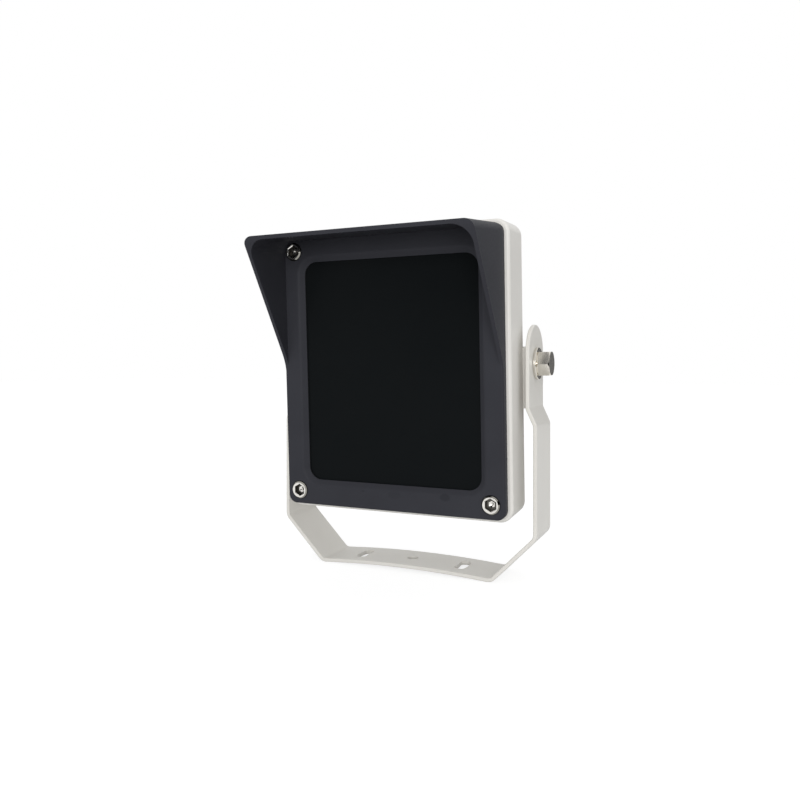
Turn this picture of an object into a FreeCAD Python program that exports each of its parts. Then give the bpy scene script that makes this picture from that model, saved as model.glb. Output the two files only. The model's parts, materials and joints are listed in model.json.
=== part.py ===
"""Infrared illuminator on a folded steel bracket, in millimetres.

+Z is up and the lamp looks along -Y.  The origin is the centre of the round fixing hole,
on the underside of the bracket's base.  The lamp head is modelled level, about its tilt
axis, and is then tilted and lifted into the bracket.
"""
import FreeCAD, Part
import math
import os

Vec = FreeCAD.Vector

# Bracket
bracket_thickness = 2.2
bracket_width = 32.0
pivot_height = 118.5
arm_top_above_pivot = 21.6
jog_start_below_pivot = 24.2
jog_end_below_pivot = 33.3
jog_out = 4.2
lower_bend_below_pivot = 94.8
base_half_length = 53.6
arch_rise = 2.2
bend_inner_radius = 4.0
jog_inner_radius = 3.0
strip_edge_radius = 0.4
base_hole_radius = 3.25
slot_circle_radius = 32.0
slot_half_width = 3.0
slot_half_angle = 9.5

# Lamp head, outside
rest_tilt = 2.9
housing_width = 138.0
housing_height = 161.0
housing_corner_radius = 7.5
housing_below_pivot = 3.0
front_before_pivot = 36.3
flange_depth = 25.0
rim_edge_radius = 1.6
flange_back_radius = 1.0
housing_wall = 6.0
cavity_corner_radius = 5.0
ledge_depth = 17.5
back_wall = 3.5
block_margin = 13.5
block_depth = 21.2
block_corner_radius = 9.0
block_edge_radius = 2.5

# Fins on the back
fin_count = 11
fin_pitch = 9.6
fin_root = 3.4
fin_tip = 2.0
fin_height = 12.5
fin_slope = 6.0
fin_top_margin = 5.0
plain_back_height = 38.0

# Tilt bosses and bolts
boss_beyond_side = 2.8
boss_above_pivot = 9.2
boss_below_pivot = 24.5
boss_before_pivot = 7.2
boss_behind_pivot = 15.0
boss_corner_radius = 2.5
bolt_radius = 4.0
bolt_across_flats = 13.0
bolt_head_height = 7.0
bolt_length = 16.5
bolt_chamfer = 0.9
bolt_hole_extra = 2.0
pivot_washer_radius = 9.0
pivot_washer_thickness = 1.6
friction_washer_radius = 7.0
friction_washer_thickness = 0.8

# Front bezel and hood
bezel_inset = 2.5
bezel_thickness = 4.8
bezel_edge_radius = 1.2
gasket_thickness = 0.8
gasket_inset = 0.8
hood_depth = 40.0
hood_side_draft = 1.5
hood_drop = 3.0
hood_root = 1.5
hood_wall = 2.1
hood_tip_above_pivot = 2.6
hood_front_edge = 2.0
hood_tip_blend = 9.0
hood_foot_blend = 28.0
hood_inner_root_radius = 6.5
hood_inner_tip_radius = 10.0

# Window
window_corner_radius = 7.5
window_bevel = 3.0
window_bevel_depth = 2.6
window_seat_depth = 3.0
window_edge_radius = 3.0
window_gap_line = 0.2
window_overlap = 3.0
window_thickness = 4.0
window_pocket_wall = 2.0
retainer_thickness = 1.2
retainer_border = 1.0
retainer_side_spacing = 78.0
retainer_end_spacing = 60.0
retainer_lug_radius = 2.6
lug_side_gap = 0.85
lug_end_gap = 1.85
retainer_screw_radius = 1.25
retainer_screw_bite = 3.0
retainer_head_radius = 2.2
retainer_head_height = 1.4

# Corner screws
corner_screw_from_side = 10.4
corner_screw_from_end = 10.7
corner_screw_radius = 3.0
corner_screw_length = 12.0
corner_head_radius = 5.0
corner_head_height = 4.0
corner_head_chamfer = 0.7
corner_socket_flats = 6.0
corner_socket_bevel = 0.4
corner_socket_turn = 30.0
corner_socket_depth = 3.0
counterbore_radius = 5.3
counterbore_depth = 2.8
counterbore_relief = 2.5
corner_boss_radius = 5.5

# Small pan-head screws, as shares of the head's height or radius
pan_chamfer_share = 0.35
pan_recess_depth_share = 0.5
pan_recess_arm_share = 0.6
pan_recess_slot_share = 0.15

# Heat spreader, light board and lenses
spreader_thickness = 4.0
spreader_gap = 1.5
spreader_screw_radius = 2.0
spreader_screw_bite = 4.4
spreader_head_radius = 3.5
spreader_head_height = 2.4
spreader_screw_spacing_z = 45.0
thermal_pad_thickness = 0.3
led_board_side_margin = 18.0
led_board_end_margin = 17.5
led_board_thickness = 1.6
inner_corner_radius = 4.0
led_columns = 3
led_rows = 4
led_side_margin = 20.0
led_end_margin = 16.5
emitter_size = 5.0
emitter_base = 1.0
emitter_dome_radius = 1.9
lens_plate_thickness = 2.0
lens_plate_border = 2.0
lens_gap_to_window = 1.3
lens_top_radius = 13.0
lens_foot_radius = 5.0
lens_foot_gap = 0.7
lens_pocket_radius = 2.8
lens_pocket_depth = 1.6
lens_post_radius = 3.6
lens_screw_radius = 1.5
lens_screw_bite = 3.0
lens_head_radius = 2.75
lens_head_height = 1.0
sensor_radius = 2.5
sensor_height = 6.0

# Driver board in the rear cavity
driver_side_gap = 6.0
driver_top_gap = 6.5
driver_bottom_gap = 34.5
driver_thickness = 1.6
driver_screw_inset = 5.0
driver_screw_radius = 1.5
driver_screw_bite = 2.2
driver_head_radius = 2.75
driver_head_height = 1.8
standoff_height = 5.0
standoff_radius = 2.9
coil_radius = 11.0
coil_bore_radius = 4.5
coil_height = 8.0
capacitor_radius = 5.0
capacitor_height = 12.0
capacitor_gap = 2.0
capacitor_edge_radius = 0.8
chip_size = 9.0
chip_height = 1.6
terminal_length = 25.0
terminal_depth = 9.0
terminal_height = 10.0
terminal_ways = 3
terminal_way_radius = 1.9
terminal_screw_depth = 2.0
terminal_screw_setback = 5.4

# Cable gland and breather
gland_above_block_foot = 18.0
gland_pad_radius = 12.5
gland_pad_height = 3.5
gland_washer_thickness = 1.5
gland_thread_radius = 8.0
gland_flats = 20.0
gland_flange_height = 5.0
gland_neck_radius = 7.6
gland_neck_height = 9.0
gland_cap_gap = 1.5
gland_cap_height = 13.0
gland_cap_roof = 2.5
gland_cap_round = 4.0
gland_cap_mouth_radius = 5.4
gland_bore_radius = 5.6
gland_seal_length = 9.0
cable_radius = 3.25
locknut_thickness = 3.0
gland_end_extra = 1.0
gland_chamfer = 0.9
breather_offset = 32.0
breather_radius = 4.0
breather_flats = 13.0
breather_head_height = 5.0
breather_pad_radius = 8.5
breather_pad_height = 2.0
breather_port_radius = 1.5

# Clearances
thread_clearance = 0.05
running_clearance = 0.08
loose_clearance = 0.3
face_clearance = 0.05
blind_extra = 0.6
overcut = 1.0

# Sizes worked out from the housing's
boss_half_width = housing_width / 2 + boss_beyond_side
lug_reach = window_pocket_wall + retainer_screw_radius + retainer_lug_radius
window_border = housing_wall + lug_reach + loose_clearance + window_overlap
window_width = housing_width - 2 * (window_border + lug_side_gap)
window_height = housing_height - 2 * (window_border + lug_end_gap)
block_width = housing_width - 2 * block_margin
block_height = housing_height - 2 * block_margin
led_board_width = housing_width - 2 * led_board_side_margin
led_board_height = housing_height - 2 * led_board_end_margin
led_pitch_x = (led_board_width - 2 * led_side_margin) / (led_columns - 1)
led_pitch_z = (led_board_height - 2 * led_end_margin) / (led_rows - 1)
driver_width = block_width - 2 * (back_wall + driver_side_gap)
driver_height = block_height - 2 * back_wall - driver_top_gap - driver_bottom_gap
driver_above_centre = (driver_bottom_gap - driver_top_gap) / 2

# Places worked out from the sizes above; the head's own frame has its origin on the tilt axis
centre_z = -housing_below_pivot
front_y = -front_before_pivot
bezel_back_y = front_y + bezel_thickness
rim_y = bezel_back_y + gasket_thickness
flange_back_y = rim_y + flange_depth
ledge_y = rim_y + ledge_depth
block_back_y = flange_back_y + block_depth
cavity_floor_y = block_back_y - back_wall
window_seat_y = front_y + window_seat_depth
window_front_y = window_seat_y + gasket_thickness
window_back_y = window_front_y + window_thickness
retainer_back_y = window_back_y + retainer_thickness
lens_top_y = retainer_back_y + lens_gap_to_window
lens_plate_back_y = lens_top_y + lens_plate_thickness
spreader_front_y = ledge_y - spreader_thickness
pad_front_y = spreader_front_y - thermal_pad_thickness
board_front_y = pad_front_y - led_board_thickness
lens_foot_y = board_front_y - emitter_base - lens_foot_gap
driver_back_y = cavity_floor_y - standoff_height
driver_front_y = driver_back_y - driver_thickness
arm_inner_x = boss_half_width + friction_washer_thickness + 2 * face_clearance
arm_outer_x = arm_inner_x + bracket_thickness
washer_inner_x = arm_outer_x + face_clearance
bolt_seat_x = washer_inner_x + pivot_washer_thickness
back_parts_z = centre_z - block_height / 2 + gland_above_block_foot
gland_seat_y = block_back_y + gland_pad_height
gland_flange_y = gland_seat_y + gland_washer_thickness
gland_neck_y = gland_flange_y + gland_flange_height
gland_cap_y = gland_neck_y + gland_cap_gap
gland_mouth_y = gland_cap_y + gland_cap_height
SIDES = {"left": -1, "right": 1}


def rounded_rectangle(width, height, radius, y, z):
    """Closed wire of a rounded rectangle, upright in the plane at y, centred at (0, z)."""
    a = width / 2 - radius
    b = height / 2 - radius
    r45 = radius * math.sqrt(0.5)
    arcs = []
    for sx, sz in ((1, 1), (-1, 1), (-1, -1), (1, -1)):
        c = Vec(sx * a, y, z + sz * b)
        ends = [c + Vec(sx * radius, 0, 0), c + Vec(0, 0, sz * radius)]
        if sx != sz:
            ends.reverse()
        arcs.append((ends[0], c + Vec(sx * r45, 0, sz * r45), ends[1]))
    edges = []
    for arc, following in zip(arcs, arcs[1:] + arcs[:1]):
        edges.append(Part.Arc(*arc).toShape())
        edges.append(Part.makeLine(arc[2], following[0]))
    return Part.Wire(edges)


def block_y(size, y0, y1, z=centre_z):
    """Prism along Y; size is (width, height, corner radius)."""
    face = Part.Face(rounded_rectangle(*size, y0, z))
    return face.extrude(Vec(0, y1 - y0, 0))


def grown(size, amount):
    """A (width, height, corner radius) grown by the same amount on every side."""
    return (size[0] + 2 * amount, size[1] + 2 * amount, size[2] + amount)


def rod_x(radius, x0, x1, y=0.0, z=0.0):
    return Part.makeCylinder(radius, abs(x1 - x0), Vec(min(x0, x1), y, z), Vec(1, 0, 0))


def rod_y(radius, y0, y1, x=0.0, z=0.0):
    return Part.makeCylinder(radius, abs(y1 - y0), Vec(x, min(y0, y1), z), Vec(0, 1, 0))


def tube_y(outer, inner, y0, y1, x=0.0, z=0.0):
    return rod_y(outer, y0, y1, x, z).cut(rod_y(inner, y0, y1, x, z))


def box(x0, x1, y0, y1, z0, z1):
    return Part.makeBox(x1 - x0, y1 - y0, z1 - z0, Vec(x0, y0, z0))


def hexagon_wire(across_flats, y, x=0.0, z=0.0, turn=0.0):
    """Closed wire of a hexagon at y, with flats above and below unless it is turned."""
    radius = across_flats / math.sqrt(3)
    points = []
    for k in range(7):
        angle = math.radians(60 * k + turn)
        points.append(Vec(x + radius * math.cos(angle), y, z + radius * math.sin(angle)))
    return Part.makePolygon(points)


def hexagon_y(across_flats, y0, y1, x=0.0, z=0.0, turn=0.0):
    """Hexagonal prism along Y."""
    face = Part.Face(hexagon_wire(across_flats, min(y0, y1), x, z, turn))
    return face.extrude(Vec(0, abs(y1 - y0), 0))


def hexagon_head(across_flats, y0, y1, chamfer, x=0.0, z=0.0):
    """Hexagonal head along Y, its corners turned down at both ends."""
    outer = across_flats / math.sqrt(3) + face_clearance
    ring = rod_y(outer, y0, y1, x, z)
    ring = ring.makeChamfer(chamfer, edges_at_y(ring, y0) + edges_at_y(ring, y1))
    return hexagon_y(across_flats, y0, y1, x, z).common(ring)


def prism_x(points, x0, x1):
    """Prism along X from (y, z) points."""
    corners = [Vec(x0, y, z) for y, z in points]
    return Part.Face(Part.makePolygon(corners + corners[:1])).extrude(Vec(x1 - x0, 0, 0))


def fuse_all(shapes):
    return shapes[0].multiFuse(shapes[1:]).removeSplitter()


def cut_all(shape, tools):
    return shape.cut(Part.makeCompound(tools))


def edges_at_y(shape, y, reach=1000.0):
    """Edges lying in the plane at y and no further than reach from the middle."""
    found = []
    for edge in shape.Edges:
        b = edge.BoundBox
        if abs(b.YMin - y) < 1e-4 and abs(b.YMax - y) < 1e-4 and b.XMax < reach and b.XMin > -reach:
            found.append(edge)
    return found


def edge_along_x(shape, y, z):
    """The edge along X at the given y and z."""
    for edge in shape.Edges:
        b = edge.BoundBox
        if b.XLength > 1 and Vec(0, b.YMin - y, b.ZMin - z).Length < 1e-3:
            return edge
    raise ValueError("no edge there")


def edges_along_y(shape, points):
    """Edges along Y that pass through one of the (x, z) points."""
    found = []
    for edge in shape.Edges:
        b = edge.BoundBox
        if b.XLength > 1e-4 or b.ZLength > 1e-4:
            continue
        if any(abs(b.XMin - x) < 1e-3 and abs(b.ZMin - z) < 1e-3 for x, z in points):
            found.append(edge)
    return found


def boss_rooms(y0, y1):
    """Room for the housing's corner bosses."""
    return [rod_y(corner_boss_radius + loose_clearance, y0, y1, x, z) for x, z in corner_places()]


def four_places(half_x, half_z, z=centre_z):
    return [(sx * half_x, z + sz * half_z) for sx in (-1, 1) for sz in (-1, 1)]


def corner_places():
    half_x = housing_width / 2 - corner_screw_from_side
    return four_places(half_x, housing_height / 2 - corner_screw_from_end)


def retainer_places():
    """Centres of the eight retainer screws, just outside the window's pocket."""
    width, height = window_pocket()[:2]
    out = window_pocket_wall + retainer_screw_radius
    beside = four_places(width / 2 + out, retainer_side_spacing / 2)
    beyond = four_places(retainer_end_spacing / 2, height / 2 + out)
    return beside + beyond


def led_places():
    places = []
    for column in range(led_columns):
        for row in range(led_rows):
            x = (column - (led_columns - 1) / 2) * led_pitch_x
            z = centre_z + (row - (led_rows - 1) / 2) * led_pitch_z
            places.append((x, z))
    return places


def lens_post_places():
    return four_places(led_pitch_x / 2, led_pitch_z)


def sensor_place():
    return (led_pitch_x / 2, centre_z)


def spreader_screw_places():
    """Three screws on each side, on the middle line of the ledge."""
    x = (rear_cavity()[0] + front_cavity()[0]) / 4
    return [(s * x, centre_z + k * spreader_screw_spacing_z) for s in (-1, 1) for k in (-1, 0, 1)]


def driver_screw_places():
    half_x = driver_width / 2 - driver_screw_inset
    half_z = driver_height / 2 - driver_screw_inset
    return four_places(half_x, half_z, centre_z + driver_above_centre)


def housing_outline():
    return (housing_width, housing_height, housing_corner_radius)


def bezel_outline():
    return grown(housing_outline(), -bezel_inset)


def front_cavity():
    across = 2 * housing_wall
    return (housing_width - across, housing_height - across, cavity_corner_radius)


def rear_block():
    return (block_width, block_height, block_corner_radius)


def rear_cavity():
    return grown(rear_block(), -back_wall)


def window_opening():
    return (window_width, window_height, window_corner_radius)


def window_glass():
    return grown(window_opening(), window_overlap)


def window_pocket():
    return grown(window_glass(), loose_clearance)


def led_board_outline():
    return (led_board_width, led_board_height, inner_corner_radius)


def screw(radius, length, head_radius, head_height, y, x, z, direction=1):
    """Pan-head screw with a cross recess; the shank runs from y along the given direction."""
    top = y - direction * head_height
    head = rod_y(head_radius, top, y, x, z)
    head = head.makeChamfer(head_height * pan_chamfer_share, edges_at_y(head, top))
    shank = rod_y(radius, y, y + direction * length, x, z)
    deep = head_height * pan_recess_depth_share
    arm = head_radius * pan_recess_arm_share
    thin = head_radius * pan_recess_slot_share
    y0, y1 = sorted((top, top + direction * deep))
    recess = [box(x - arm, x + arm, y0, y1, z - thin, z + thin)]
    recess.append(box(x - thin, x + thin, y0, y1, z - arm, z + arm))
    return cut_all(fuse_all([head, shank]), recess)


def lifted(shape):
    """Move a shape from the tilt axis up to its height in the bracket."""
    shape.translate(Vec(0, 0, pivot_height))
    return shape


def set_head(shape):
    """Tilt a shape of the lamp head about the tilt axis and lift it into the bracket."""
    shape.rotate(Vec(0, 0, 0), Vec(1, 0, 0), rest_tilt)
    return lifted(shape)


def offset_corner(before, corner, after, distance):
    """Corner of a folded line moved to the left of its travel by a distance."""
    first = (corner - before).normalize()
    second = (after - corner).normalize()
    n1 = Vec(-first.z, 0, first.x)
    n2 = Vec(-second.z, 0, second.x)
    return corner + (n1 + n2) * (distance / (1 + n1.dot(n2)))


def arch_meets_diagonal(upper, lower):
    """Where the inner face of the diagonal meets the upper face of the arched base."""
    arch_radius = (base_half_length ** 2 + arch_rise ** 2) / (2 * arch_rise)
    along = (lower - upper).normalize()
    start = upper + Vec(along.z, 0, -along.x) * bracket_thickness
    to_start = start + Vec(0, 0, arch_radius)
    b = to_start.dot(along)
    c = to_start.dot(to_start) - (arch_radius + bracket_thickness) ** 2
    return start + along * (-b - math.sqrt(b * b - c))


def strip_corners():
    """Corners of the right half of the folded strip: outer and inner, from the top down."""
    top = pivot_height + arm_top_above_pivot
    out = arm_outer_x + jog_out
    outer = [
        Vec(arm_outer_x, 0, top),
        Vec(arm_outer_x, 0, pivot_height - jog_start_below_pivot),
        Vec(out, 0, pivot_height - jog_end_below_pivot),
        Vec(out, 0, pivot_height - lower_bend_below_pivot),
        Vec(base_half_length, 0, -arch_rise),
    ]
    inner = [Vec(arm_inner_x, 0, top)]
    for k in (1, 2, 3):
        inner.append(offset_corner(outer[k - 1], outer[k], outer[k + 1], -bracket_thickness))
    inner.append(arch_meets_diagonal(outer[3], outer[4]))
    return outer, inner


def mirrored(points):
    return [Vec(-p.x, p.y, p.z) for p in points]


def chain(points):
    return [Part.makeLine(a, b) for a, b in zip(points, points[1:])]


def strip_section():
    outer, inner = strip_corners()
    left_outer = mirrored(outer)
    left_inner = mirrored(inner)
    edges = chain(outer)
    edges.append(Part.Arc(outer[4], Vec(0, 0, 0), left_outer[4]).toShape())
    edges += chain(left_outer[::-1] + left_inner)
    edges.append(Part.Arc(left_inner[4], Vec(0, 0, bracket_thickness), inner[4]).toShape())
    edges += chain(inner[::-1] + outer[:1])
    return Part.Face(Part.Wire(edges))


def bent(solid):
    """Round the bends of the strip, the outside of each one thickness larger."""
    outer, inner = strip_corners()
    t = bracket_thickness
    bends = [
        (jog_inner_radius, [outer[1], inner[2]]),
        (jog_inner_radius + t, [inner[1], outer[2]]),
        (bend_inner_radius, [inner[3], inner[4]]),
        (bend_inner_radius + t, [outer[3], outer[4]]),
    ]
    for radius, points in bends:
        places = [(p.x, p.z) for p in points + mirrored(points)]
        solid = solid.makeFillet(radius, edges_along_y(solid, places))
    return solid


def arc_slot(side):
    """Tool for one arc slot of the base, concentric with the round hole."""
    outer = slot_circle_radius + slot_half_width
    inner = slot_circle_radius - slot_half_width
    height = 4 * bracket_thickness
    low = Vec(0, 0, -height / 2)
    sector = Part.makeCylinder(outer, height, low, Vec(0, 0, 1), 2 * slot_half_angle)
    sector = sector.cut(Part.makeCylinder(inner, height, low))
    sector.rotate(Vec(0, 0, 0), Vec(0, 0, 1), -slot_half_angle)
    ends = []
    for sign in (-1, 1):
        angle = math.radians(sign * slot_half_angle)
        centre = Vec(slot_circle_radius * math.cos(angle), slot_circle_radius * math.sin(angle), 0)
        ends.append(Part.makeCylinder(slot_half_width, height, centre + low))
    tool = fuse_all([sector] + ends)
    if side < 0:
        tool.rotate(Vec(0, 0, 0), Vec(0, 0, 1), 180)
    return tool


def u_bracket():
    half = bracket_width / 2
    solid = strip_section().extrude(Vec(0, bracket_width, 0))
    solid.translate(Vec(0, -half, 0))
    solid = bent(solid)
    reach = arm_outer_x + 2 * jog_out
    round_z = pivot_height + arm_top_above_pivot - half
    below = box(-reach, reach, -half, half, -bend_inner_radius - arch_rise, round_z)
    outline = below.fuse(rod_x(half, -reach, reach, 0, round_z))
    solid = solid.common(outline).removeSplitter()
    height = 4 * bracket_thickness
    tools = [Part.makeCylinder(base_hole_radius, height, Vec(0, 0, -height / 2))]
    for side in SIDES.values():
        tools.append(arc_slot(side))
        tools.append(rod_x(bolt_radius + running_clearance, 0, side * reach, 0, pivot_height))
    return softened(cut_all(solid, tools))


def softened(solid):
    """Take the sharpness off the long front and rear edges of the strip."""
    half = bracket_width / 2
    edges = edges_at_y(solid, -half) + edges_at_y(solid, half)
    return solid.makeChamfer(strip_edge_radius, edges)


def friction_washer(side):
    x0 = side * (boss_half_width + face_clearance)
    x1 = x0 + side * friction_washer_thickness
    disc = rod_x(friction_washer_radius, x0, x1)
    return lifted(disc.cut(rod_x(bolt_radius + loose_clearance, x0, x1)))


def hood_tunnel(inset, root_radius, tip_radius):
    """Tapering tunnel along the hood, a wall's inset inside the bezel's outline."""
    width, height = grown(bezel_outline(), -inset)[:2]
    root = rounded_rectangle(width, height, root_radius, front_y + hood_root, centre_z)
    narrow = width - 2 * hood_side_draft
    tip = rounded_rectangle(narrow, height, tip_radius, front_y - hood_depth, centre_z - hood_drop)
    return Part.makeLoft([root, tip], True, True)


def hood_side_view():
    """Prism that trims the tunnel to a sloping hood, blended into the bezel's rounded edge."""
    width, height = bezel_outline()[:2]
    top = centre_z + height / 2
    back_y = front_y + hood_root + overcut
    end_y = front_y - hood_depth
    slope_z = top - hood_drop - hood_front_edge
    rise = (slope_z - hood_tip_above_pivot) / hood_depth
    foot_y = front_y + bezel_edge_radius
    foot_z = hood_tip_above_pivot - rise * bezel_edge_radius
    low_z = foot_z - hood_foot_blend / 2
    points = [(back_y, low_z), (foot_y, low_z), (foot_y, foot_z), (end_y, slope_z)]
    points += [(end_y, top + overcut), (back_y, top + overcut)]
    reach = width / 2 + overcut
    keep = prism_x(points, -reach, reach)
    keep = keep.makeFillet(hood_foot_blend, [edge_along_x(keep, foot_y, foot_z)])
    return keep.makeFillet(hood_tip_blend, [edge_along_x(keep, end_y, slope_z)])


def hood():
    """Roof and side panels; the side panels run back down to the face of the bezel."""
    radius = bezel_outline()[2]
    inside = hood_tunnel(hood_wall, hood_inner_root_radius, hood_inner_tip_radius)
    return hood_tunnel(0, radius, radius).cut(inside).common(hood_side_view())


def window_cutters():
    """Bevelled opening, straight land, and the pocket for gasket and glass behind it."""
    opening = window_opening()
    wide = rounded_rectangle(*grown(opening, window_bevel), front_y, centre_z)
    land_y = front_y + window_bevel_depth
    narrow = rounded_rectangle(*opening, land_y, centre_z)
    bevel = Part.makeLoft([wide, narrow], True, True)
    land = block_y(opening, land_y, window_seat_y + overcut)
    pocket = block_y(window_pocket(), window_seat_y, window_back_y + overcut)
    return [bevel, land, pocket]


def front_bezel():
    outline = bezel_outline()
    plate = block_y(outline, front_y, bezel_back_y)
    plate = plate.makeFillet(bezel_edge_radius, edges_at_y(plate, front_y))
    wall = block_y(grown(window_pocket(), window_pocket_wall), window_seat_y, window_back_y)
    wall = cut_all(wall, boss_rooms(rim_y, window_back_y))
    lugs = []
    for x, z in retainer_places():
        lugs.append(rod_y(retainer_lug_radius, bezel_back_y - overcut, window_back_y, x, z))
    solid = fuse_all([plate, hood(), wall] + lugs)
    solid = cut_all(solid, window_cutters())
    reach = window_width / 2 + window_bevel + overcut
    solid = solid.makeFillet(window_edge_radius, edges_at_y(solid, front_y, reach))
    tools = []
    for x, z in corner_places():
        seat_y = front_y + counterbore_depth
        tools.append(rod_y(counterbore_radius, front_y - counterbore_relief, seat_y, x, z))
        tools.append(rod_y(corner_screw_radius + loose_clearance, seat_y - overcut, rim_y, x, z))
    for x, z in retainer_places():
        bore_y = window_back_y - retainer_screw_bite - blind_extra
        radius = retainer_screw_radius + thread_clearance
        tools.append(rod_y(radius, bore_y, window_back_y + overcut, x, z))
    return cut_all(solid, tools)


def front_window():
    return block_y(window_glass(), window_front_y, window_back_y)


def window_gasket():
    outer = block_y(window_glass(), window_seat_y, window_front_y)
    inner = grown(window_opening(), window_gap_line)
    return outer.cut(block_y(inner, window_seat_y, window_front_y))


def window_retainer():
    plates = [block_y(grown(window_pocket(), window_pocket_wall), window_back_y, retainer_back_y)]
    tools = boss_rooms(window_back_y, retainer_back_y)
    tools.append(block_y(grown(window_opening(), retainer_border), window_back_y, retainer_back_y))
    for x, z in retainer_places():
        plates.append(rod_y(retainer_lug_radius, window_back_y, retainer_back_y, x, z))
        hole = retainer_screw_radius + loose_clearance
        tools.append(rod_y(hole, window_back_y, retainer_back_y, x, z))
    return cut_all(fuse_all(plates), tools)


def retainer_screws():
    solids = []
    length = retainer_thickness + retainer_screw_bite
    for x, z in retainer_places():
        solids.append(screw(retainer_screw_radius, length, retainer_head_radius,
                            retainer_head_height, retainer_back_y, x, z, -1))
    return Part.makeCompound(solids)


def housing_gasket():
    plates = [block_y(grown(bezel_outline(), -gasket_inset), bezel_back_y, rim_y)]
    plates[0] = plates[0].cut(block_y(grown(front_cavity(), loose_clearance), bezel_back_y, rim_y))
    tools = []
    for x, z in corner_places():
        plates.append(rod_y(corner_boss_radius - loose_clearance, bezel_back_y, rim_y, x, z))
        tools.append(rod_y(corner_screw_radius + loose_clearance, bezel_back_y, rim_y, x, z))
    return cut_all(fuse_all(plates), tools)


def corner_socket(y, x, z):
    """Hexagonal socket with a bevelled mouth at y, a corner of the hexagon upward."""
    wide = corner_socket_flats + 2 * corner_socket_bevel
    rims = [hexagon_wire(wide, y, x, z, corner_socket_turn),
            hexagon_wire(corner_socket_flats, y + corner_socket_bevel, x, z, corner_socket_turn)]
    hole = hexagon_y(corner_socket_flats, y, y + corner_socket_depth, x, z, corner_socket_turn)
    return hole.fuse(Part.makeLoft(rims, True, True))


def corner_screws():
    """Socket-head screws; their heads stand a little proud of the bezel."""
    seat_y = front_y + counterbore_depth
    top_y = seat_y - corner_head_height
    solids = []
    for x, z in corner_places():
        head = rod_y(corner_head_radius, top_y, seat_y, x, z)
        head = head.makeChamfer(corner_head_chamfer, edges_at_y(head, top_y))
        shank = rod_y(corner_screw_radius, seat_y, seat_y + corner_screw_length, x, z)
        solids.append(fuse_all([head, shank]).cut(corner_socket(top_y, x, z)))
    return Part.makeCompound(solids)


def tilt_boss(side):
    """Block on the side of the housing that takes the tilt bolt."""
    x0, x1 = sorted((side * (block_width / 2 - back_wall / 2), side * boss_half_width))
    block = box(x0, x1, -boss_before_pivot, boss_behind_pivot, -boss_below_pivot, boss_above_pivot)
    rear = []
    for edge in block.Edges:
        b = edge.BoundBox
        if b.XLength > 1 and b.YMin > boss_behind_pivot - 1e-3:
            rear.append(edge)
    return block.makeFillet(boss_corner_radius, rear)


def fin(x):
    """One upright cooling fin, thinner at its tip, with sloping ends."""
    root_y = block_back_y - back_wall / 2
    tip_y = block_back_y + fin_height
    half_height = block_height / 2
    z1 = centre_z + half_height - fin_top_margin
    z0 = centre_z - half_height + plain_back_height
    a = fin_root / 2
    b = fin_tip / 2
    section = [(x - a, root_y), (x + a, root_y), (x + b, tip_y), (x - b, tip_y)]
    corners = [Vec(px, py, z0) for px, py in section]
    upright = Part.Face(Part.makePolygon(corners + corners[:1])).extrude(Vec(0, 0, z1 - z0))
    side = [(root_y, z0), (tip_y, z0 + fin_slope), (tip_y, z1 - fin_slope), (root_y, z1)]
    return upright.common(prism_x(side, x - fin_root, x + fin_root))


def housing_outside():
    flange = block_y(housing_outline(), rim_y, flange_back_y)
    flange = flange.makeFillet(flange_back_radius, edges_at_y(flange, flange_back_y))
    flange = flange.makeFillet(rim_edge_radius, edges_at_y(flange, rim_y))
    block = block_y(rear_block(), ledge_y, block_back_y)
    block = block.makeFillet(block_edge_radius, edges_at_y(block, block_back_y))
    pieces = [flange, block]
    pieces += [tilt_boss(side) for side in SIDES.values()]
    pieces += [fin((k - (fin_count - 1) / 2) * fin_pitch) for k in range(fin_count)]
    inside_y = block_back_y - back_wall / 2
    pieces.append(rod_y(gland_pad_radius, inside_y, gland_seat_y, 0, back_parts_z))
    breather_seat_y = block_back_y + breather_pad_height
    pieces.append(rod_y(breather_pad_radius, inside_y, breather_seat_y, breather_offset, back_parts_z))
    return fuse_all(pieces)


def housing_bores():
    tools = []
    for x, z in corner_places():
        depth = corner_screw_length - (rim_y - front_y - counterbore_depth) + blind_extra
        tools.append(rod_y(corner_screw_radius + thread_clearance, rim_y, rim_y + depth, x, z))
    for x, z in spreader_screw_places():
        depth = spreader_screw_bite + blind_extra
        tools.append(rod_y(spreader_screw_radius + thread_clearance, ledge_y, ledge_y + depth, x, z))
    for x, z in driver_screw_places():
        radius = driver_screw_radius + thread_clearance
        depth = driver_screw_bite + blind_extra / 2
        tools.append(rod_y(radius, cavity_floor_y, cavity_floor_y + depth, x, z))
    for side in SIDES.values():
        end_x = bolt_seat_x - bolt_length - bolt_hole_extra
        radius = bolt_radius + thread_clearance
        tools.append(rod_x(radius, side * end_x, side * boss_half_width))
    gland_radius = gland_thread_radius + loose_clearance
    tools.append(rod_y(gland_radius, cavity_floor_y, gland_seat_y, 0, back_parts_z))
    breather_bore = breather_radius + thread_clearance
    breather_seat_y = block_back_y + breather_pad_height
    tools.append(rod_y(breather_bore, cavity_floor_y, breather_seat_y, breather_offset, back_parts_z))
    return tools


def rear_housing():
    solid = housing_outside()
    hollow = block_y(front_cavity(), rim_y, ledge_y).fuse(block_y(rear_cavity(), ledge_y, cavity_floor_y))
    solid = solid.cut(hollow)
    bosses = [rod_y(corner_boss_radius, rim_y, ledge_y, x, z) for x, z in corner_places()]
    solid = fuse_all([solid] + bosses)
    return cut_all(solid, housing_bores())


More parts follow.
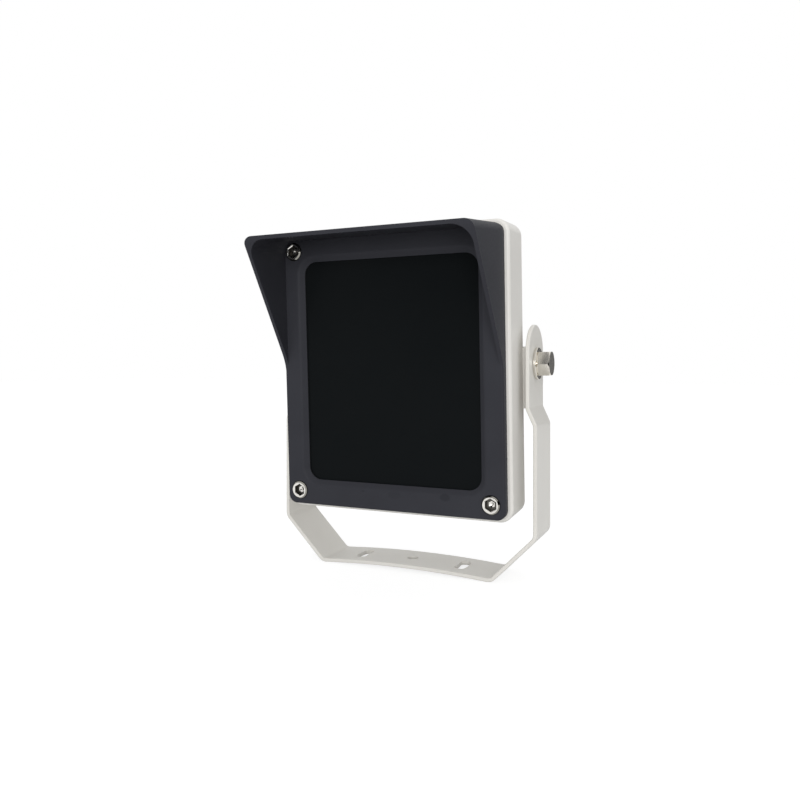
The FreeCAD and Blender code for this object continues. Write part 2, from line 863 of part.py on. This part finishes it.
def pivot_bolt(side):
    """Hexagon bolt along X, through washer, arm and friction washer into the boss."""
    head = hexagon_head(bolt_across_flats, 0, bolt_head_height, bolt_chamfer)
    shank = rod_y(bolt_radius, -bolt_length, 0)
    shank = shank.makeChamfer(bolt_chamfer, edges_at_y(shank, -bolt_length))
    bolt = fuse_all([head, shank])
    bolt.rotate(Vec(0, 0, 0), Vec(0, 0, 1), -90 * side)
    bolt.translate(Vec(side * bolt_seat_x, 0, 0))
    return bolt


def plain_washer(side):
    x0 = side * washer_inner_x
    x1 = side * bolt_seat_x
    return rod_x(pivot_washer_radius, x0, x1).cut(rod_x(bolt_radius + loose_clearance, x0, x1))


def heat_spreader():
    size = grown(front_cavity(), -spreader_gap)
    plate = block_y(size, spreader_front_y, ledge_y)
    tools = []
    for x, z in corner_places():
        tools.append(rod_y(corner_boss_radius + spreader_gap, spreader_front_y, ledge_y, x, z))
    for x, z in spreader_screw_places():
        hole = spreader_screw_radius + loose_clearance
        tools.append(rod_y(hole, spreader_front_y, ledge_y, x, z))
    for x, z in lens_post_places():
        radius = lens_screw_radius + thread_clearance
        tools.append(rod_y(radius, spreader_front_y, spreader_front_y + lens_screw_bite + blind_extra, x, z))
    return cut_all(plate, tools)


def spreader_screws():
    solids = []
    length = spreader_thickness + spreader_screw_bite
    for x, z in spreader_screw_places():
        solids.append(screw(spreader_screw_radius, length, spreader_head_radius,
                            spreader_head_height, spreader_front_y, x, z))
    return Part.makeCompound(solids)


def drilled_sheet(y0, y1):
    """Sheet as large as the light board, with the lens screw holes, clear of the spreader's screws."""
    sheet = block_y(led_board_outline(), y0, y1)
    hole = lens_screw_radius + loose_clearance
    tools = [rod_y(hole, y0, y1, x, z) for x, z in lens_post_places()]
    head = spreader_head_radius + loose_clearance
    tools += [rod_y(head, y0, y1, x, z) for x, z in spreader_screw_places()]
    return cut_all(sheet, tools)


def thermal_pad():
    return drilled_sheet(pad_front_y, spreader_front_y)


def led_board():
    return drilled_sheet(board_front_y, pad_front_y)


def led_emitters():
    half = emitter_size / 2
    solids = []
    for x, z in led_places():
        base_y = board_front_y - emitter_base
        base = box(x - half, x + half, base_y, board_front_y, z - half, z + half)
        dome = Part.makeSphere(emitter_dome_radius, Vec(x, base_y, z))
        solids.append(fuse_all([base, dome.common(box(x - half, x + half, base_y - half,
                                                      board_front_y, z - half, z + half))]))
    return Part.makeCompound(solids)


def lens(x, z):
    """One collimating lens, a cone under the plate."""
    depth = lens_foot_y - lens_plate_back_y
    foot = Vec(x, lens_plate_back_y, z)
    return Part.makeCone(lens_top_radius, lens_foot_radius, depth, foot, Vec(0, 1, 0))


def lens_plate():
    size = grown(led_board_outline(), -lens_plate_border)
    pieces = [block_y(size, lens_top_y, lens_plate_back_y)]
    tools = []
    for x, z in led_places():
        pieces.append(lens(x, z))
        pocket_y = lens_foot_y - lens_pocket_depth
        tools.append(rod_y(lens_pocket_radius, pocket_y, lens_foot_y, x, z))
    for x, z in lens_post_places():
        pieces.append(rod_y(lens_post_radius, lens_plate_back_y, board_front_y, x, z))
        hole = lens_screw_radius + loose_clearance
        tools.append(rod_y(hole, lens_top_y, board_front_y, x, z))
    x, z = sensor_place()
    tools.append(rod_y(sensor_radius + loose_clearance, lens_top_y, lens_plate_back_y, x, z))
    return cut_all(fuse_all(pieces), tools)


def lens_screws():
    solids = []
    length = spreader_front_y - lens_top_y + lens_screw_bite
    for x, z in lens_post_places():
        solids.append(screw(lens_screw_radius, length, lens_head_radius,
                            lens_head_height, lens_top_y, x, z))
    return Part.makeCompound(solids)


def light_sensor():
    x, z = sensor_place()
    barrel = rod_y(sensor_radius, board_front_y - sensor_height, board_front_y, x, z)
    return barrel.makeFillet(sensor_radius / 2, edges_at_y(barrel, board_front_y - sensor_height))


def driver_board():
    size = (driver_width, driver_height, inner_corner_radius)
    board = block_y(size, driver_front_y, driver_back_y, centre_z + driver_above_centre)
    hole = driver_screw_radius + loose_clearance
    return cut_all(board, [rod_y(hole, driver_front_y, driver_back_y, x, z)
                           for x, z in driver_screw_places()])


def driver_parts():
    """Coil, two capacitors and three chips on the driver board."""
    z0 = centre_z + driver_above_centre
    y = driver_front_y
    solids = [tube_y(coil_radius, coil_bore_radius, y - coil_height, y, -driver_width / 4, z0 + coil_radius)]
    for k in (-1, 1):
        x = driver_width / 4 + k * (capacitor_radius + capacitor_gap / 2)
        can = rod_y(capacitor_radius, y - capacitor_height, y, x, z0 + coil_radius)
        solids.append(can.makeFillet(capacitor_edge_radius, edges_at_y(can, y - capacitor_height)))
    for k in (-1, 0, 1):
        x = k * 2 * chip_size - chip_size / 2
        z = z0 - 2 * chip_size
        solids.append(box(x, x + chip_size, y - chip_height, y, z, z + chip_size))
    return Part.makeCompound(solids)


def terminal_block():
    half = terminal_length / 2
    z0 = centre_z + driver_above_centre - driver_height / 2 + driver_screw_inset / 2
    y = driver_front_y
    block = box(-half, half, y - terminal_height, y, z0, z0 + terminal_depth)
    tools = []
    pitch = terminal_length / terminal_ways
    for k in range(terminal_ways):
        x = (k - (terminal_ways - 1) / 2) * pitch
        way = Part.makeCylinder(terminal_way_radius, terminal_depth / 2,
                                Vec(x, y - terminal_height / 2, z0), Vec(0, 0, 1))
        tools.append(way)
        top_y = y - terminal_height
        tools.append(rod_y(terminal_way_radius, top_y, top_y + terminal_screw_depth,
                           x, z0 + terminal_screw_setback))
    return cut_all(block, tools)


def driver_standoffs():
    inner = driver_screw_radius + loose_clearance
    return Part.makeCompound([tube_y(standoff_radius, inner, driver_back_y, cavity_floor_y, x, z)
                              for x, z in driver_screw_places()])


def driver_screws():
    solids = []
    length = driver_thickness + standoff_height + driver_screw_bite
    for x, z in driver_screw_places():
        solids.append(screw(driver_screw_radius, length, driver_head_radius,
                            driver_head_height, driver_front_y, x, z))
    return Part.makeCompound(solids)


def gland_body():
    """Threaded tube with a hexagon flange and a neck that holds the seal."""
    z = back_parts_z
    inner_y = cavity_floor_y - locknut_thickness - gland_end_extra
    tube = rod_y(gland_thread_radius, inner_y, gland_flange_y, 0, z)
    flange = hexagon_head(gland_flats, gland_flange_y, gland_neck_y, gland_chamfer, 0, z)
    neck = rod_y(gland_neck_radius, gland_neck_y, gland_neck_y + gland_neck_height, 0, z)
    bore = rod_y(gland_bore_radius, inner_y, gland_neck_y + gland_neck_height, 0, z)
    return fuse_all([tube, flange, neck]).cut(bore)


def gland_nut():
    """Domed cap nut over the neck, with a hexagon foot."""
    z = back_parts_z
    foot = hexagon_head(gland_flats, gland_cap_y, gland_mouth_y, gland_chamfer, 0, z)
    dome = rod_y(gland_flats / math.sqrt(3) + face_clearance, gland_cap_y, gland_mouth_y, 0, z)
    dome = dome.makeFillet(gland_cap_round, edges_at_y(dome, gland_mouth_y))
    roof_y = gland_mouth_y - gland_cap_roof
    hollow = rod_y(gland_neck_radius + thread_clearance, gland_cap_y, roof_y, 0, z)
    mouth = rod_y(gland_cap_mouth_radius, roof_y, gland_mouth_y, 0, z)
    return cut_all(foot.common(dome), [hollow, mouth])


def gland_seal():
    end_y = gland_neck_y + gland_neck_height
    return tube_y(gland_bore_radius, cable_radius, end_y - gland_seal_length, end_y, 0, back_parts_z)


def gland_washer():
    inner = gland_thread_radius + thread_clearance
    return tube_y(gland_flats / 2, inner, gland_seat_y, gland_flange_y, 0, back_parts_z)


def gland_locknut():
    z = back_parts_z
    y0 = cavity_floor_y - locknut_thickness
    nut = hexagon_head(gland_flats, y0, cavity_floor_y, gland_chamfer / 2, 0, z)
    return nut.cut(rod_y(gland_thread_radius + thread_clearance, y0, cavity_floor_y, 0, z))


def vent_plug():
    """Threaded breather with a hexagon head and cross ports."""
    seat_y = block_back_y + breather_pad_height
    top_y = seat_y + breather_head_height
    x = breather_offset
    z = back_parts_z
    head = hexagon_head(breather_flats, seat_y, top_y, gland_chamfer, x, z)
    shank = rod_y(breather_radius, cavity_floor_y, seat_y, x, z)
    middle_y = (seat_y + top_y) / 2
    bore = rod_y(breather_port_radius, cavity_floor_y, middle_y, x, z)
    port = Part.makeCylinder(breather_port_radius, 2 * breather_flats,
                             Vec(x, middle_y, z - breather_flats), Vec(0, 0, 1))
    return cut_all(fuse_all([head, shank]), [bore, port])


HEAD_NODES = [
    rear_housing, front_bezel, front_window, window_gasket, window_retainer, retainer_screws,
    housing_gasket, corner_screws, heat_spreader, spreader_screws, thermal_pad, led_board,
    led_emitters, lens_plate, lens_screws, light_sensor, driver_board, driver_parts,
    terminal_block, driver_standoffs, driver_screws, gland_body, gland_nut, gland_seal,
    gland_washer, gland_locknut, vent_plug,
]


def all_nodes():
    shapes = {"u_bracket": u_bracket()}
    for name, side in SIDES.items():
        shapes["friction_washer_" + name] = friction_washer(side)
        shapes["plain_washer_" + name] = set_head(plain_washer(side))
        shapes["pivot_bolt_" + name] = set_head(pivot_bolt(side))
    for build in HEAD_NODES:
        shapes[build.__name__] = set_head(build())
    return shapes


os.makedirs("parts", exist_ok=True)
for node, shape in all_nodes().items():
    shape.exportStep("parts/" + node + ".step")
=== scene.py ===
"""Looks of the infrared illuminator: finishes, fine edges, light and camera."""
import json
import math

import bmesh
import bpy
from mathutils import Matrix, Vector


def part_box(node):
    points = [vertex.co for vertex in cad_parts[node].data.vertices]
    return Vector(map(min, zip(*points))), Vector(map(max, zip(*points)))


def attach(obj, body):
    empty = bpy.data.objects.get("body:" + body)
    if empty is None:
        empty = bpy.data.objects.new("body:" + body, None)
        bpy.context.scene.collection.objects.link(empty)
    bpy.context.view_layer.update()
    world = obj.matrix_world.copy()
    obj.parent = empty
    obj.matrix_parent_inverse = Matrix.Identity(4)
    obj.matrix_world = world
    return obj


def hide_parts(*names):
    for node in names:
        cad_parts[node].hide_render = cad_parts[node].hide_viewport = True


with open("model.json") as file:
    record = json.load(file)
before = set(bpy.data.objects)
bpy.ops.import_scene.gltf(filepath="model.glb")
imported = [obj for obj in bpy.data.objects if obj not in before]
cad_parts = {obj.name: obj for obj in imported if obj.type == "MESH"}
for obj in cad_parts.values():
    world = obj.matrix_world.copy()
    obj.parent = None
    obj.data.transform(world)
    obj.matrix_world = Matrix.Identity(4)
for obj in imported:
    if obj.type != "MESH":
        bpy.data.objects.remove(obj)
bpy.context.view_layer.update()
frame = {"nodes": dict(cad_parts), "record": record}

MM = 0.001


# Finishes
# Noise scales are per metre, roughness and shares run from 0 to 1

NOISE_RANGE = (0.3, 0.7)        # where most of a noise texture's values lie
GLOSS_SPREAD = 0.04             # change of roughness over painted and metal faces
PLASTIC_GLOSS_SPREAD = 0.03

PAINT_DRIFT = 18.0
PAINT_BUMP = 0.35

METAL_DRIFT = 350.0
METAL_MARKS = 3200.0
METAL_BUMP = 0.08

PLASTIC_DRIFT = 60.0
PLASTIC_GRAIN = 600.0
PLASTIC_BUMP = 0.1

FINE_DEPTH = 0.02 * MM          # height of the marks in metal and plastic
BLOT_RIM = (1.2, 0.8)           # a mark fades in between these shares of its half size

BLACK = (0.0, 0.0, 0.0)
WHITE = (1, 1, 1, 1)

# Faint marks that the photo shows on the bezel's lower border: x, z, width, height in mm, share
BEZEL_BLOTS = [
    (32.9, 46.0, 5.8, 4.0, 0.20),
    (2.9, 45.2, 8.0, 4.5, 0.08),
    (-16.8, 46.1, 2.2, 1.0, 0.16),
]

# Dark and light colour, roughness, size and depth of the grain in mm, specular level, marks
POWDER_COATS = {
    "bracket_paint": ((0.66, 0.64, 0.597), (0.70, 0.68, 0.637), 0.42, 1.1, 0.03),
    "housing_paint": ((0.70, 0.68, 0.64), (0.74, 0.72, 0.68), 0.40, 1.1, 0.03),
    "bezel_paint": ((0.0318, 0.0322, 0.0384), (0.0378, 0.0386, 0.0456), 0.46, 0.8, 0.04,
                    0.05, BEZEL_BLOTS),
}

# Dark and light colour, roughness
BRIGHT_METALS = {
    "stainless": ((0.66, 0.63, 0.57), (0.78, 0.75, 0.69), 0.15),
    # Painted shade: darker steel on the corner screws' chamfer ring
    "chamfer_steel": ((0.24, 0.23, 0.21), (0.32, 0.31, 0.28)),
    "polished": ((0.70, 0.68, 0.64), (0.80, 0.78, 0.74)),
    # Painted shade: dark steel inside the corner screws' sockets
    "socket_shade": ((0.07, 0.067, 0.06), (0.11, 0.105, 0.095), 0.3),
    "bare_aluminium": ((0.62, 0.61, 0.59), (0.74, 0.73, 0.71)),
    "brass_nickel": ((0.52, 0.49, 0.43), (0.62, 0.59, 0.52)),
}

# Dark and light colour, roughness, specular level
PLASTICS = {
    "window_dark": ((0.0060, 0.0072, 0.0078), (0.0070, 0.0080, 0.0085), 0.2, 0.012),
    "rubber_black": ((0.012, 0.012, 0.012), (0.02, 0.02, 0.02), 0.7, 0.3),
    "nylon": ((0.20, 0.19, 0.17), (0.25, 0.24, 0.22), 0.5),
    "pad_grey": ((0.22, 0.23, 0.25), (0.28, 0.29, 0.31), 0.8, 0.3),
    "board_white": ((0.70, 0.70, 0.68), (0.76, 0.76, 0.74), 0.5),
    "emitter_clear": ((0.55, 0.45, 0.18), (0.6, 0.5, 0.22), 0.2),
    "lens_clear": ((0.75, 0.78, 0.80), (0.80, 0.83, 0.85), 0.1),
    "board_green": ((0.015, 0.11, 0.04), (0.02, 0.15, 0.06), 0.4),
    "part_black": ((0.02, 0.02, 0.02), (0.035, 0.035, 0.035), 0.45),
    "terminal_green": ((0.02, 0.2, 0.06), (0.03, 0.26, 0.08), 0.4),
    "gland_black": ((0.018, 0.018, 0.019), (0.03, 0.03, 0.032), 0.5),
}


def new_material(name):
    mat = bpy.data.materials.new(name)
    mat.use_nodes = True
    nodes = mat.node_tree.nodes
    return mat, nodes, mat.node_tree.links, nodes["Principled BSDF"]


def coordinates(nodes, links, scale=(1, 1, 1), shift=(0, 0, 0)):
    """Object coordinates in metres, scaled and then shifted."""
    coord = nodes.new("ShaderNodeTexCoord")
    mapping = nodes.new("ShaderNodeMapping")
    mapping.inputs["Scale"].default_value = scale
    mapping.inputs["Location"].default_value = shift
    links.new(coord.outputs["Object"], mapping.inputs["Vector"])
    return mapping.outputs["Vector"]


def noise(nodes, links, vector, scale, detail, roughness=0.55):
    node = nodes.new("ShaderNodeTexNoise")
    node.inputs["Scale"].default_value = scale
    node.inputs["Detail"].default_value = detail
    node.inputs["Roughness"].default_value = roughness
    links.new(vector, node.inputs["Vector"])
    return node.outputs["Fac"]


def remap(nodes, links, value, from_range, to_low, to_high):
    node = nodes.new("ShaderNodeMapRange")
    node.inputs["From Min"].default_value = from_range[0]
    node.inputs["From Max"].default_value = from_range[1]
    node.inputs["To Min"].default_value = to_low
    node.inputs["To Max"].default_value = to_high
    links.new(value, node.inputs["Value"])
    return node.outputs["Result"]


def mix_colour(nodes, links, factor, *colours):
    """Mix of two colours, each an RGB value or a socket."""
    node = nodes.new("ShaderNodeMix")
    node.data_type = "RGBA"
    links.new(factor, node.inputs["Factor"])
    for socket, colour in zip(("A", "B"), colours):
        if isinstance(colour, tuple):
            node.inputs[socket].default_value = (*colour, 1.0)
        else:
            links.new(colour, node.inputs[socket])
    return node.outputs["Result"]


def add_gloss(nodes, links, bsdf, grain, rough, spread):
    """Roughness that follows the grain, by spread to either side of rough."""
    gloss = remap(nodes, links, grain, NOISE_RANGE, rough - spread, rough + spread)
    links.new(gloss, bsdf.inputs["Roughness"])


def add_bump(nodes, links, bsdf, height, strength, distance):
    node = nodes.new("ShaderNodeBump")
    node.inputs["Strength"].default_value = strength
    node.inputs["Distance"].default_value = distance
    links.new(height, node.inputs["Height"])
    links.new(node.outputs["Normal"], bsdf.inputs["Normal"])


def blot(nodes, links, x_mm, z_mm, width_mm, height_mm, share):
    """Share of dirt in a soft-edged ellipse, as seen from the front."""
    scale_x, scale_z = 2 / (width_mm * MM), 2 / (height_mm * MM)
    shift = (-x_mm * MM * scale_x, 0, -z_mm * MM * scale_z)
    reach = nodes.new("ShaderNodeVectorMath")
    reach.operation = "LENGTH"
    links.new(coordinates(nodes, links, (scale_x, 0, scale_z), shift), reach.inputs[0])
    return remap(nodes, links, reach.outputs["Value"], BLOT_RIM, 0.0, share)


def powder_coat(name, dark, light, rough, grain_mm, depth_mm, spec=0.5, blots=()):
    """Powder-coated metal: fine orange peel, slow colour drift, uneven gloss and marks."""
    mat, nodes, links, bsdf = new_material(name)
    vector = coordinates(nodes, links)
    drift = noise(nodes, links, vector, PAINT_DRIFT, 3.0)
    grain = noise(nodes, links, vector, 1 / (grain_mm * MM), 3.0, 0.5)
    factor = remap(nodes, links, drift, NOISE_RANGE, 0.0, 1.0)
    colour = mix_colour(nodes, links, factor, dark, light)
    for mark in blots:
        colour = mix_colour(nodes, links, blot(nodes, links, *mark), colour, BLACK)
    links.new(colour, bsdf.inputs["Base Color"])
    bsdf.inputs["Specular IOR Level"].default_value = spec
    add_gloss(nodes, links, bsdf, grain, rough, GLOSS_SPREAD)
    add_bump(nodes, links, bsdf, grain, PAINT_BUMP, depth_mm * MM)
    return mat


def bright_metal(name, dark, light, rough=0.12):
    """Bright metal with fine turning marks."""
    mat, nodes, links, bsdf = new_material(name)
    vector = coordinates(nodes, links)
    drift = noise(nodes, links, vector, METAL_DRIFT, 2.0)
    marks = noise(nodes, links, vector, METAL_MARKS, 2.0)
    links.new(mix_colour(nodes, links, drift, dark, light), bsdf.inputs["Base Color"])
    bsdf.inputs["Metallic"].default_value = 1.0
    add_gloss(nodes, links, bsdf, marks, rough, GLOSS_SPREAD)
    add_bump(nodes, links, bsdf, marks, METAL_BUMP, FINE_DEPTH)
    return mat


def plastic(name, dark, light, rough, spec=0.5):
    """Plastic, rubber or glass with a faint grain."""
    mat, nodes, links, bsdf = new_material(name)
    vector = coordinates(nodes, links)
    drift = noise(nodes, links, vector, PLASTIC_DRIFT, 3.0)
    grain = noise(nodes, links, vector, PLASTIC_GRAIN, 2.0)
    links.new(mix_colour(nodes, links, drift, dark, light), bsdf.inputs["Base Color"])
    bsdf.inputs["Specular IOR Level"].default_value = spec
    add_gloss(nodes, links, bsdf, grain, rough, PLASTIC_GLOSS_SPREAD)
    add_bump(nodes, links, bsdf, grain, PLASTIC_BUMP, FINE_DEPTH)
    return mat


MATERIALS = {}
for make, finishes in (
    (powder_coat, POWDER_COATS),
    (bright_metal, BRIGHT_METALS),
    (plastic, PLASTICS),
):
    for finish, values in finishes.items():
        MATERIALS[finish] = make(finish, *values)


# Pieces shaped from the frame's own solids

SLOT_OF = {p["node"]: p["material_slot"] for p in frame["record"]["subparts"]}
BODY_OF = {n: b for b, group in frame["record"]["behaviour"]["bodies"].items() for n in group}

SAME_POINT = 1e-6                     # metres
FLAT_ANGLE = math.radians(0.3)        # faces closer than this to one plane are joined
SHARP_ANGLE = math.radians(38.0)      # edges sharper than this are eased
EASED_SEGMENTS = 2
NORMAL_WEIGHT = 100

# Width of the eased edges in mm
EASED_EDGES = {
    "u_bracket": 0.2,
    "rear_housing": 0.35,
    "front_bezel": 0.3,
    "front_window": 0.3,
    "corner_screws": 0.25,
    "pivot_bolt_left": 0.7,
    "pivot_bolt_right": 0.7,
    "plain_washer_left": 0.3,
    "plain_washer_right": 0.3,
    "gland_body": 0.35,
    "gland_nut": 0.35,
    "gland_washer": 0.2,
    "vent_plug": 0.3,
}

# Finishes and painted shades of a corner screw's zones, in the order of its material indices:
# the polished face and drill point, painted shade inside the socket, painted shade on the
# head's chamfer ring
SCREW_FINISHES_AND_SHADES = ("polished", "socket_shade", "chamfer_steel")
SHINE, SHADE, CHAMFER = range(3)

# The zones, in mm from the middle of the socket's foot: towards the head's top, and sideways
FOOT_SLACK = 0.01
SOCKET_TOP, SOCKET_REACH = 2.0, 3.3
CHAMFER_TOP, CHAMFER_INSIDE, CHAMFER_OUTSIDE = 2.95, 4.4, 4.9

# Drill point at the socket's foot, in mm
POINT_MARGIN = 1.6
POINT_SLOPE = 1.1
POINT_DEPTH = 0.7


def shape_sockets(bm):
    """Drill point in each screw's socket; the socket and the head's chamfer ring take painted
    shade, each in a material of its own.
    """
    floors = [f for f in bm.faces if len(f.verts) == 6 and f.normal.y < -0.9]
    outward = floors[0].normal.copy()
    feet = [f.calc_center_median() for f in floors]
    for face in bm.faces:
        middle = face.calc_center_median()
        offset = min((middle - foot for foot in feet), key=lambda o: o.length) / MM
        height = offset.dot(outward)
        side = (offset - height * outward).length
        # Socket faces take painted shade; faces on the head's chamfer ring take a painted shade
        # of their own
        if -FOOT_SLACK < height < SOCKET_TOP and side < SOCKET_REACH:
            face.material_index = SHADE
        elif SOCKET_TOP < height < CHAMFER_TOP and CHAMFER_INSIDE < side < CHAMFER_OUTSIDE:
            face.material_index = CHAMFER
    bmesh.ops.inset_individual(bm, faces=floors, thickness=POINT_MARGIN * MM, depth=0.0)
    for face in floors:
        face.material_index = SHINE
    bmesh.ops.inset_individual(
        bm, faces=floors, thickness=POINT_SLOPE * MM, depth=-POINT_DEPTH * MM)


def refined(node, eased_mm):
    """A copy of a CAD node with its flat faces joined and its sharp edges eased."""
    mesh = frame["nodes"][node].data.copy()
    mesh.name = node + "_skin"
    bm = bmesh.new()
    bm.from_mesh(mesh)
    bmesh.ops.remove_doubles(bm, verts=bm.verts, dist=SAME_POINT)
    bmesh.ops.dissolve_limit(bm, angle_limit=FLAT_ANGLE, verts=bm.verts, edges=bm.edges)
    if node == "corner_screws":
        shape_sockets(bm)
    bm.to_mesh(mesh)
    bm.free()
    if "custom_normal" in mesh.attributes:
        mesh.attributes.remove(mesh.attributes["custom_normal"])
    mesh.shade_smooth()
    mesh.set_sharp_from_angle(angle=SHARP_ANGLE)
    piece = bpy.data.objects.new(node + "_skin", mesh)
    bpy.context.scene.collection.objects.link(piece)
    bevel = piece.modifiers.new("edges", "BEVEL")
    bevel.width = eased_mm * MM
    bevel.segments = EASED_SEGMENTS
    bevel.limit_method = "ANGLE"
    bevel.angle_limit = SHARP_ANGLE
    bevel.harden_normals = True
    bevel.miter_outer = "MITER_ARC"
    weighted = piece.modifiers.new("normals", "WEIGHTED_NORMAL")
    weighted.keep_sharp = True
    weighted.weight = NORMAL_WEIGHT
    return piece


def paint(piece, *finishes):
    """Give a piece its finishes and keep each face's material index."""
    indices = [face.material_index for face in piece.data.polygons]
    piece.data.materials.clear()
    for finish in finishes:
        piece.data.materials.append(MATERIALS[finish])
    piece.data.polygons.foreach_set("material_index", indices)


for node, obj in frame["nodes"].items():
    paint(obj, SLOT_OF[node])

for node, eased_mm in EASED_EDGES.items():
    piece = refined(node, eased_mm)
    if node == "corner_screws":
        paint(piece, *SCREW_FINISHES_AND_SHADES)
    else:
        paint(piece, SLOT_OF[node])
    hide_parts(node)
    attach(piece, BODY_OF[node])


# Floor, light and camera

FLOOR_REACH = 4.0
FLOOR_GREY = 0.7
FLOOR_GLOW = 1.36
FLOOR_GLOW_SHARE = 0.6      # the rest of the floor keeps the shadow

AMBIENT_COLOUR = (0.98, 0.99, 1.0, 1)
AMBIENT_STRENGTH = 0.82

# Camera fitted to the photo's edges
CAMERA_PLACE = (0.1754, -0.4064, 0.1187)
CAMERA_TURN = 24.35
CAMERA_LENS = 33.26
CAMERA_SENSOR = 36.0
CAMERA_SHIFT = -0.0461

MATT_ROUGHNESS = 0.9


def aim(obj, place, target):
    obj.location = place
    obj.rotation_euler = (Vector(target) - Vector(place)).to_track_quat("-Z", "Y").to_euler()


def add_plane(name, half_width, half_height, level=0.0):
    """A rectangle around the origin, at a level above it."""
    w, h = half_width, half_height
    mesh = bpy.data.meshes.new(name)
    corners = [(-w, -h, level), (w, -h, level), (w, h, level), (-w, h, level)]
    mesh.from_pydata(corners, [], [(0, 1, 2, 3)])
    plane = bpy.data.objects.new(name, mesh)
    bpy.context.scene.collection.objects.link(plane)
    return plane


def matt_material(name, grey):
    mat, nodes, links, bsdf = new_material(name)
    bsdf.inputs["Base Color"].default_value = (grey, grey, grey, 1)
    bsdf.inputs["Roughness"].default_value = MATT_ROUGHNESS
    bsdf.inputs["Specular IOR Level"].default_value = 0.0
    return mat, nodes, links, bsdf


def area_light(name, place, target, size, power):
    data = bpy.data.lights.new(name, "AREA")
    data.shape = "RECTANGLE"
    data.size, data.size_y = size
    data.energy = power
    light = bpy.data.objects.new(name, data)
    aim(light, place, target)
    bpy.context.scene.collection.objects.link(light)


def dark_card(name, place, target, width, height, grey=0.01):
    """Dark studio card that only mirrors see, as a backdrop for the bright metal."""
    card = add_plane(name, width / 2, height / 2)
    aim(card, place, target)
    card.visible_camera = card.visible_diffuse = card.visible_shadow = False
    card.visible_transmission = False
    card.data.materials.append(matt_material(name, grey)[0])


def shown_ray(nodes, links):
    """1 for the rays that show the background: seen directly, in metal or through glass."""
    path = nodes.new("ShaderNodeLightPath")
    shown = path.outputs["Is Camera Ray"]
    for name in ("Is Glossy Ray", "Is Transmission Ray"):
        most = nodes.new("ShaderNodeMath")
        most.operation = "MAXIMUM"
        links.new(shown, most.inputs[0])
        links.new(path.outputs[name], most.inputs[1])
        shown = most.outputs[0]
    return shown


def mix_shaders(nodes, links, factor, first, second, out):
    mixer = nodes.new("ShaderNodeMixShader")
    links.new(factor, mixer.inputs["Fac"])
    links.new(first.outputs[0], mixer.inputs[1])
    links.new(second.outputs[0], mixer.inputs[2])
    links.new(mixer.outputs[0], out.inputs["Surface"])


def make_floor():
    """White floor under the bracket that still shows the object's shadow."""
    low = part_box("u_bracket")[0]
    floor = add_plane("floor", FLOOR_REACH, FLOOR_REACH, low.z)
    mat, nodes, links, bsdf = matt_material("floor_white", FLOOR_GREY)
    glow = nodes.new("ShaderNodeEmission")
    glow.inputs["Color"].default_value = WHITE
    glow.inputs["Strength"].default_value = FLOOR_GLOW
    share = nodes.new("ShaderNodeMath")
    share.operation = "MULTIPLY"
    links.new(shown_ray(nodes, links), share.inputs[0])
    share.inputs[1].default_value = FLOOR_GLOW_SHARE
    mix_shaders(nodes, links, share.outputs[0], bsdf, glow, nodes["Material Output"])
    floor.data.materials.append(mat)


def make_world():
    """Plain white where it is seen, soft ambient light everywhere else."""
    world = bpy.data.worlds.new("studio")
    world.use_nodes = True
    bpy.context.scene.world = world
    nodes, links = world.node_tree.nodes, world.node_tree.links
    nodes.clear()
    out = nodes.new("ShaderNodeOutputWorld")
    white = nodes.new("ShaderNodeBackground")
    white.inputs["Color"].default_value = WHITE
    ambient = nodes.new("ShaderNodeBackground")
    ambient.inputs["Color"].default_value = AMBIENT_COLOUR
    ambient.inputs["Strength"].default_value = AMBIENT_STRENGTH
    mix_shaders(nodes, links, shown_ray(nodes, links), ambient, white, out)


def make_camera():
    data = bpy.data.cameras.new("camera")
    data.lens = CAMERA_LENS
    data.sensor_width = CAMERA_SENSOR
    data.shift_y = CAMERA_SHIFT
    cam = bpy.data.objects.new("camera", data)
    cam.location = CAMERA_PLACE
    cam.rotation_euler = (math.pi / 2, 0, math.radians(CAMERA_TURN))
    bpy.context.scene.collection.objects.link(cam)
    bpy.context.scene.camera = cam


make_floor()
make_world()
area_light("key", (0.45, -1.40, 0.30), (0, 0, 0.1), (0.9, 0.6), 9.5)
dark_card("card_right", (0.36, -0.1, 0.12), (0, -0.1, 0.12), 0.3, 0.2)
dark_card("card_rear", (0.20, 0.49, 0.20), (0.09, 0, 0.118), 0.2, 0.28, 0.16)
dark_card("card_front", (-0.15, -0.95, 0.2), (0.09, 0, 0.118), 0.5, 0.6)
make_camera()
bpy.context.scene.view_settings.view_transform = "Standard"
